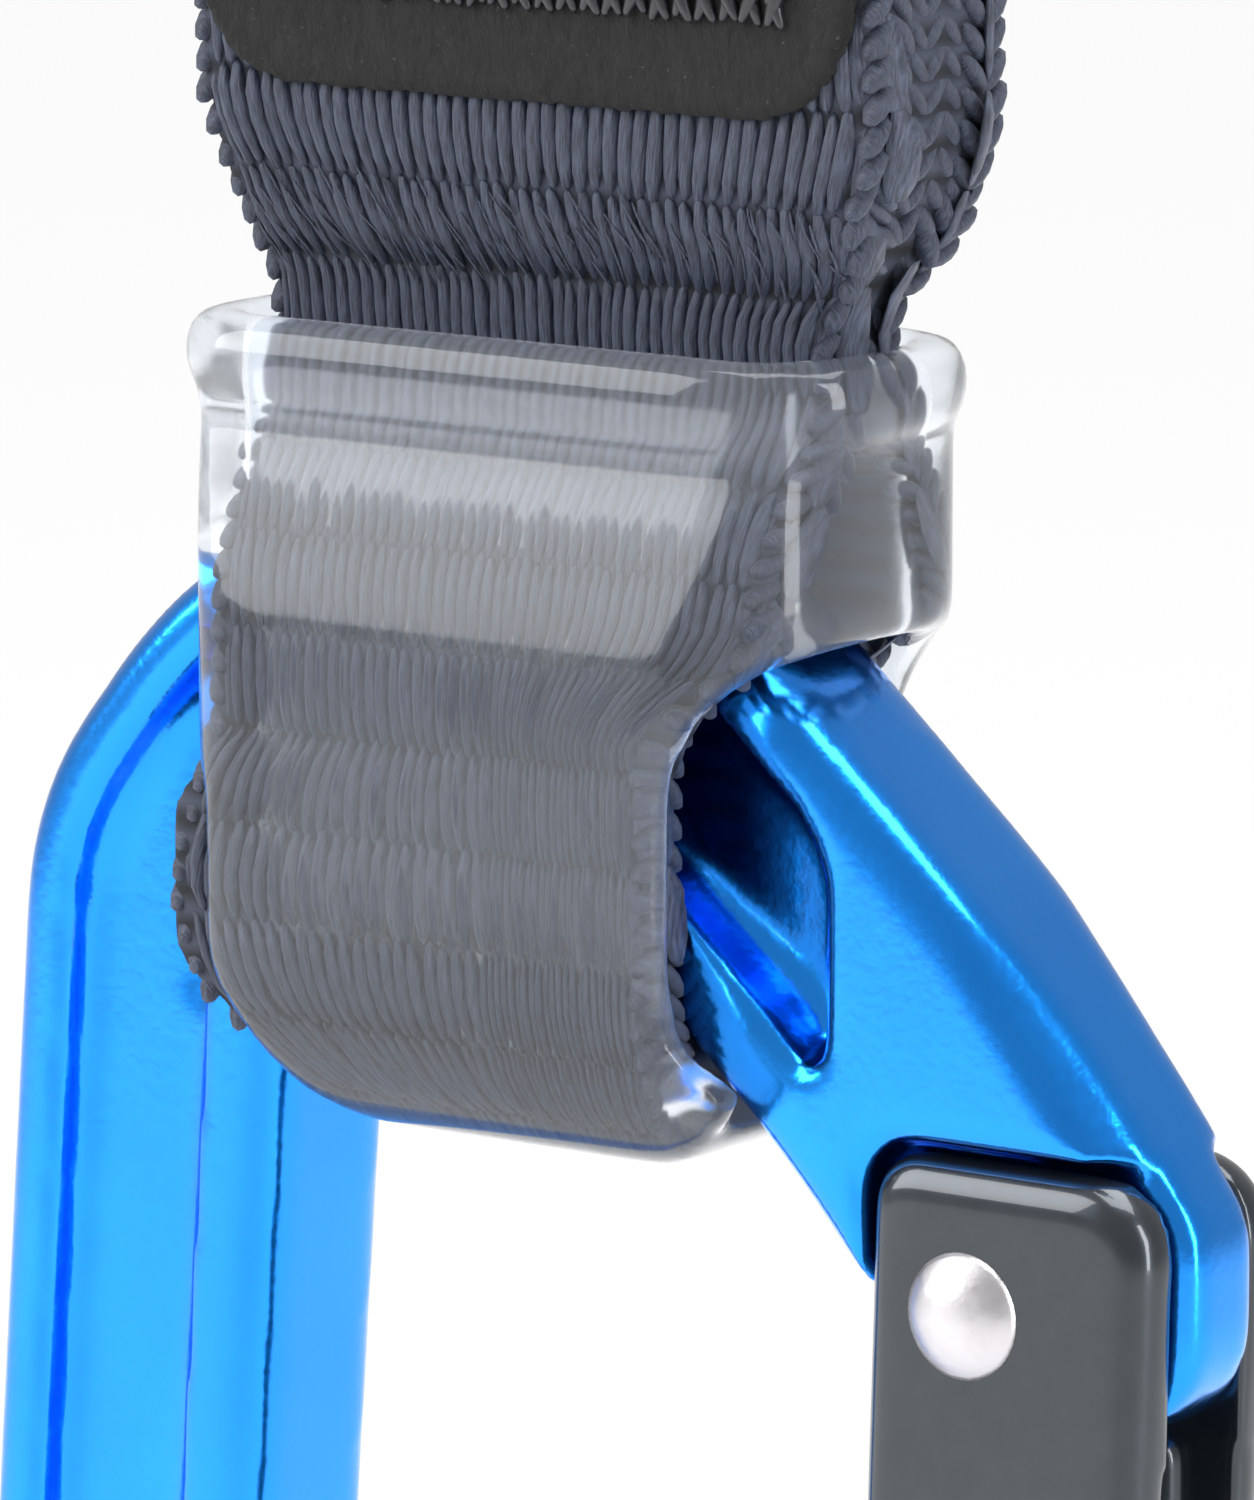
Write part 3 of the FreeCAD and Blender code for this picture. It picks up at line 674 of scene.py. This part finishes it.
def layOnStrap(bm):  # flat x, outward y and distance z go onto the webbing
    weave = bm.loops.layers.uv.new("weave")
    for face in bm.faces:
        for loop in face.loops:
            loop[weave].uv = (loop.vert.co.x, loop.vert.co.z)
    for vert in bm.verts:
        u, h, s = vert.co
        y, z, outY, outZ = onStrap(s)
        left, right = halfWidths(z)
        side = abs(u) / strap["half"]
        h -= 0.9 * max(0.0, side - 0.9) * 10 * max(0.0, side - 0.9) * 10  # rolls over at the edge
        vert.co = (u * (left if u < 0 else right) / strap["half"], y + outY * h, z + outZ * h)


def makeFloats():
    strands = []
    pitch, length = strap["floatPitch"], walk[-1][0]
    bands = round(length / strap["bandHigh"])
    for row in range(bands):
        middle = (row + 0.3) * length / bands
        y, z, _, _ = onStrap(middle)
        if covered(z) or abs(y) < 1.5 and z < 0:
            continue
        fuzzy = 14.5 < z < 18.0
        for column in range(round(2 * strap["half"] / pitch)):
            x = (column + 0.5 + (row % 2) * 0.5) * pitch - strap["half"]
            lean = rng.uniform(-0.05, 0.05) + (0.16 if fuzzy else 0.05)
            spot = (x + rng.uniform(-0.05, 0.05), rng.uniform(-0.06, 0.06), middle + rng.uniform(-0.12, 0.12))
            strands.append((spot, Matrix.Rotation(lean, 4, "Y"),
                            (pitch * 0.58, strap["floatProud"] * rng.uniform(0.9, 1.2), strap["floatHalf"])))
            for _ in range(2 if fuzzy else 0):  # loose fibres slant across this band
                spot = (x + rng.uniform(-0.4, 0.4), 0.28, middle + rng.uniform(-1.3, 1.3))
                strands.append((spot, Matrix.Rotation(rng.uniform(0.2, 0.7), 4, "Y"),
                                (0.05, 0.05, rng.uniform(0.5, 1.1))))
    return gatherAll(strands, layOnStrap)


def addWeave(bm):
    weave = bm.loops.layers.uv.new("weave")
    for face in bm.faces:
        for loop in face.loops:
            loop[weave].uv = (loop.vert.co.y * 2.0, loop.vert.co.z * 2.0)


def makeScales():  # the braided selvedge of each layer, and of the core between them
    strands = []
    length = walk[-1][0]
    count = round(length / 1.05)
    for side in (-1, 1):
        for i in range(count):
            y, z, outY, outZ = onStrap((i + 0.5) * length / count)
            if abs(y) < 1.2 and z < 20:
                continue
            edge = halfWidths(z)[0 if side < 0 else 1]
            for tilt, depth in ((-0.75, 0.55), (0.75, 1.6)):
                spot = (side * (edge - 0.25 + rng.uniform(-0.08, 0.08)), y - outY * depth, z - outZ * depth)
                turn = Matrix.Rotation(math.atan2(outZ, outY) + tilt, 4, "X")
                strands.append((spot, turn, (0.5, 0.36, 0.95)))
        for i in range(58):
            z = 18.5 + i * 1.05
            for tilt, depth in ((0.75, -0.95), (-0.75, 0.0), (0.75, 0.95)):
                spot = (side * (halfWidths(z)[0 if side < 0 else 1] - 0.5), depth, z)
                strands.append((spot, Matrix.Rotation(tilt, 4, "X"), (0.5, 0.36, 0.95)))
    return gatherAll(strands, addWeave)


def bendAtKeeper(piece):  # the piece's placement is baked into its mesh; the webbing is not bent
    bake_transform(piece)


bendAtKeeper(place(makeStrap(), ropePlace, "strapGround", shadedGround, None, "webbing",
                   "sling_webbing", "handle_core"))
bendAtKeeper(place(makeFloats(), ropePlace, "strapFloats", webbing, None, "webbing"))
bendAtKeeper(place(makeScales(), ropePlace, "strapSelvedge", webbing, None, "webbing"))
print("sling made")

patch = {"half": 13.3, "foot": 22.0, "top": 74.0, "corner": 4.0, "thick": 0.8, "proud": 4.45,
         "rows": 3, "rowPitch": 2.7, "margin": 3.1, "threadPitch": 0.92}


def makePatch(side):
    p = patch
    low, high = sorted((side * (p["proud"] - p["thick"]), side * p["proud"]))
    bm = slab([(-p["half"], p["foot"], p["corner"]), (-p["half"], p["top"], p["corner"]),
               (p["half"], p["top"], p["corner"]), (p["half"], p["foot"], p["corner"])], low, high, edge=0.25)
    bm = sculpt("patch", bm, [], 0.32, 1)
    for vert in bm.verts:  # the felt's nap
        vert.co += Vector((rng.uniform(-0.07, 0.07), rng.uniform(-0.05, 0.05), rng.uniform(-0.07, 0.07)))
    return bm


def makeStitches(first):
    strands = []
    p = patch
    count = int((2 * p["half"] - 5.0) / p["threadPitch"])
    for side in (-1, 1):
        for row in range(p["rows"]):
            for i in range(count + 1):
                for lean in (-0.42, 0.42):
                    spot = ((i - count / 2) * p["threadPitch"] + (0.23 if lean > 0 else -0.23),
                            side * (p["proud"] + 0.12 + rng.uniform(-0.05, 0.05)),
                            first + row * p["rowPitch"] + rng.uniform(-0.1, 0.1))
                    strands.append((spot, Matrix.Rotation(lean + rng.uniform(-0.06, 0.06), 4, "Y"),
                                    (0.3, 0.26, 1.45)))
    return gatherAll(strands)


for name, side in (("front_wear_patch", -1), ("rear_wear_patch", 1)):
    place(makePatch(side), ropePlace, name.replace("_wear_p", "FeltP"), felt, "sling", "felt", name)
place(makeStitches(patch["foot"] + patch["margin"] + 1.3), ropePlace, "lowerThread", threadLook, "sling",
      "thread", "lower_stitching")
place(makeStitches(patch["top"] - patch["margin"] - 1.3 - 2 * patch["rowPitch"]), ropePlace, "upperThread",
      threadLook, "sling", "thread", "upper_stitching")
print("patches and stitching made")


# --- Floor, background, lamps and camera ---
studio = {"floorZ": -0.285, "skyLight": 0.55, "whiteShare": 0.9}


def makeStudio():
    bm = bmesh.new()
    bmesh.ops.create_grid(bm, x_segments=1, y_segments=1, size=6.0)
    bmesh.ops.translate(bm, vec=(0, 0, studio["floorZ"]), verts=bm.verts)
    mesh = bpy.data.meshes.new("studioFloor")
    bm.to_mesh(mesh)
    bm.free()
    floor = bpy.data.objects.new("studioFloor", mesh)
    bpy.context.scene.collection.objects.link(floor)
    material = bpy.data.materials.new("studioFloor")
    material.use_nodes = True
    tree = material.node_tree
    flow = Flow(tree)
    tree.nodes["Principled BSDF"].inputs["Base Color"].default_value = (0.9, 0.9, 0.9, 1)
    tree.nodes["Principled BSDF"].inputs["Roughness"].default_value = 0.9
    white = flow.make("Emission", None, {"Color": (1, 1, 1, 1), "Strength": 1.0})
    path = tree.nodes.new("ShaderNodeLightPath")
    seen = flow.calc("MAXIMUM", Flow(tree, path.outputs["Is Camera Ray"]),
                     flow.calc("MAXIMUM", Flow(tree, path.outputs["Is Glossy Ray"]) * 0.3,
                               Flow(tree, path.outputs["Is Transmission Ray"])))
    mixed = flow.make("MixShader", None, {0: seen * studio["whiteShare"],
                                          1: Flow(tree, tree.nodes["Principled BSDF"].outputs[0]), 2: white})
    flow.plug(tree.nodes["Material Output"].inputs["Surface"], mixed)
    mesh.materials.append(material)

    world = bpy.data.worlds.new("studioSky")
    bpy.context.scene.world = world
    world.use_nodes = True
    tree = world.node_tree
    flow = Flow(tree)
    path = tree.nodes.new("ShaderNodeLightPath")
    seen = flow.calc("MAXIMUM", Flow(tree, path.outputs["Is Camera Ray"]),
                     Flow(tree, path.outputs["Is Transmission Ray"]))
    strength = flow.calc("MAXIMUM", seen, studio["skyLight"])
    flow.plug(tree.nodes["Background"].inputs["Strength"], strength)
    tree.nodes["Background"].inputs["Color"].default_value = (1, 1, 1, 1)


def lamp(name, spot, aim, size, power, tall=None):
    light = bpy.data.lights.new(name, "AREA")
    light.energy, light.size = power, size
    if tall:
        light.shape, light.size_y = "RECTANGLE", tall
    holder = bpy.data.objects.new(name, light)
    bpy.context.scene.collection.objects.link(holder)
    holder.location = spot
    holder.rotation_euler = (Vector(aim) - Vector(spot)).to_track_quat("-Z", "Y").to_euler()


view = {"azimuth": 36.0, "elevation": 10.0, "distance": 0.35, "lens": 252.0,
        "aim": (0.0069, 0.0, -0.1830004)}


def makeCamera():
    a, e = math.radians(view["azimuth"]), math.radians(view["elevation"])
    aim = Vector(view["aim"])
    away = Vector((math.sin(a) * math.cos(e), -math.cos(a) * math.cos(e), math.sin(e)))
    spot = aim + view["distance"] * away
    lens = bpy.data.cameras.new("shot")
    lens.lens, lens.sensor_width, lens.sensor_fit = view["lens"], 36.0, "VERTICAL"
    lens.sensor_height = 36.0
    lens.clip_start, lens.clip_end = 0.01, 50
    camera = bpy.data.objects.new("shot", lens)
    bpy.context.scene.collection.objects.link(camera)
    camera.location = spot
    camera.rotation_euler = (aim - spot).to_track_quat("-Z", "Y").to_euler()
    bpy.context.scene.camera = camera


makeStudio()
middle = (0.005, 0, -0.17)
lamp("keyLeft", (-0.35, -0.35, 0.1), middle, 0.35, 3.5, 0.5)
lamp("topLamp", (0.05, 0.05, 0.4), middle, 0.5, 5.0)
lamp("rightStrip", (0.55, -0.05, -0.05), middle, 0.12, 2.5, 0.6)
makeCamera()
bpy.context.scene.view_settings.view_transform = "Standard"
print("studio made")
